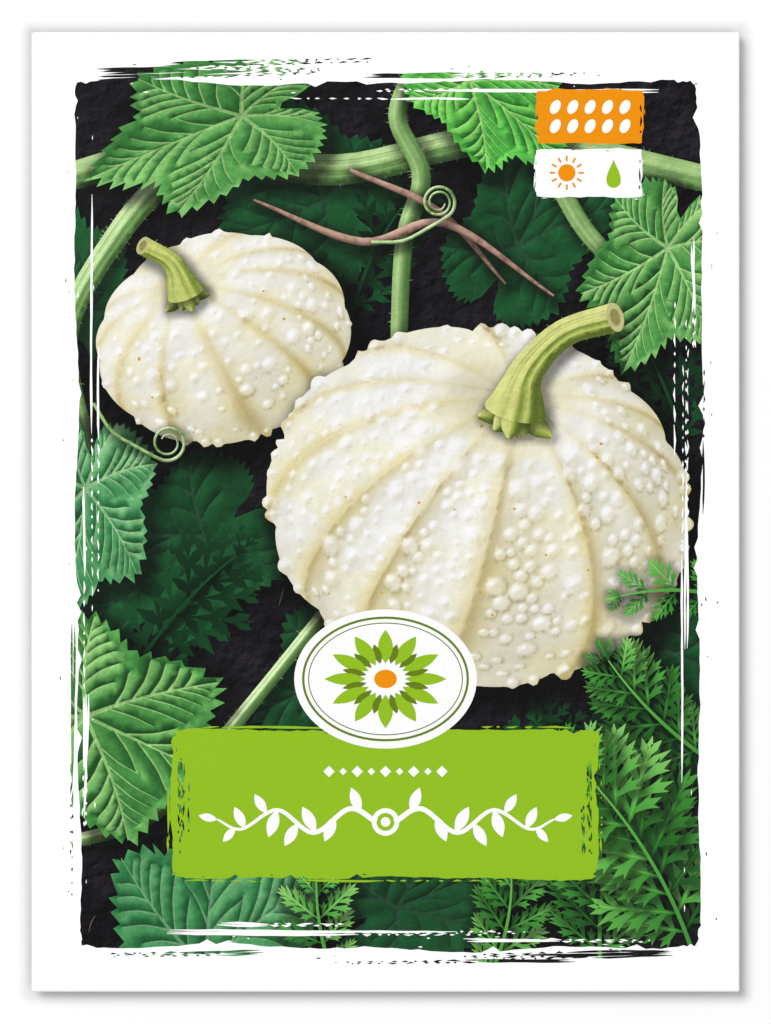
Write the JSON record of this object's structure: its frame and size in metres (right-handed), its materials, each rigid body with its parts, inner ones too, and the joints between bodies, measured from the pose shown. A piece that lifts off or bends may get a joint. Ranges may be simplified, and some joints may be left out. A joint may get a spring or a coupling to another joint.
{
  "type": "seed packet",
  "caption": "Flat paper seed packet: one sheet folded and glued shut, with a closing flap on the back, a printed front, and ten loose gourd seeds sealed inside.",
  "frame": {"origin": "on the surface it lies on, under the middle of the packet's outline", "axes": "+X across the packet to the right of its printed front, +Y towards its closed top edge, +Z out of the printed front"},
  "size_m": [0.118, 0.16, 0.0032],
  "materials": {
    "printed_paper": "coated white paper, satin, printed in four colours on its outer side",
    "seed_coat": "dry matt seed coat with a paler raised margin"
  },
  "bodies": {
    "root": {"paper_envelope": "printed_paper", "seed_01": "seed_coat", "seed_02": "seed_coat", "seed_03": "seed_coat", "seed_04": "seed_coat", "seed_05": "seed_coat", "seed_06": "seed_coat", "seed_07": "seed_coat", "seed_08": "seed_coat", "seed_09": "seed_coat", "seed_10": "seed_coat"}
  },
  "joints": []
}
